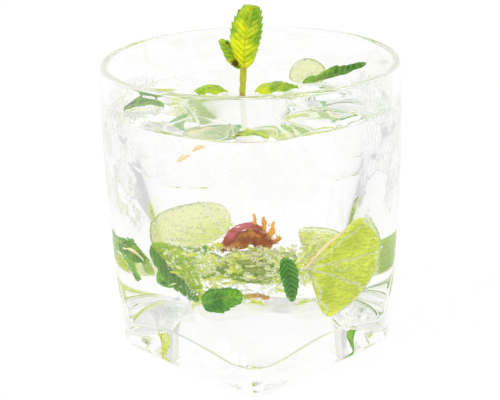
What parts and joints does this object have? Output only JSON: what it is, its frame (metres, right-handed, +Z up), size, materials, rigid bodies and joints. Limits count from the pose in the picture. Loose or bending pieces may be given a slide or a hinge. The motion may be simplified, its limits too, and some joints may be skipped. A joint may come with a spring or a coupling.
{
  "type": "lemon lime soda in a tumbler",
  "caption": "Clear lemon lime soda with ice, lime and mint in a short heavy tumbler with a round rim and a square foot.",
  "frame": {"origin": "centre of the underside of the tumbler, on the surface it stands on", "axes": "+Z up, towards the rim; one corner of the square foot points to -Y, the front; +X to the right"},
  "size_m": [0.0894, 0.0894, 0.106],
  "materials": {
    "clear_glass": "clear, polished, faint green at its thick edges",
    "soda": "clear, colourless to pale lime",
    "ice": "clear ice, wet",
    "mint_stem": "fresh stem, satin",
    "mint_pale": "fresh young leaf, satin",
    "mint_dark": "fresh grown leaf, satin",
    "lime": "wet lime flesh with a green rind"
  },
  "bodies": {
    "root": {"glass": "clear_glass", "drink": "soda", "ice_left": "ice", "ice_back": "ice", "ice_right": "ice", "ice_front": "ice", "mint_stem": "mint_stem", "mint_top_leaf": "mint_pale", "mint_side_leaf": "mint_pale", "mint_leaf_left": "mint_pale", "mint_leaf_right": "mint_pale", "mint_leaf_long": "mint_dark", "mint_leaf_edge": "mint_dark", "mint_leaf_front": "mint_pale", "lime_slice": "lime"}
  },
  "joints": []
}
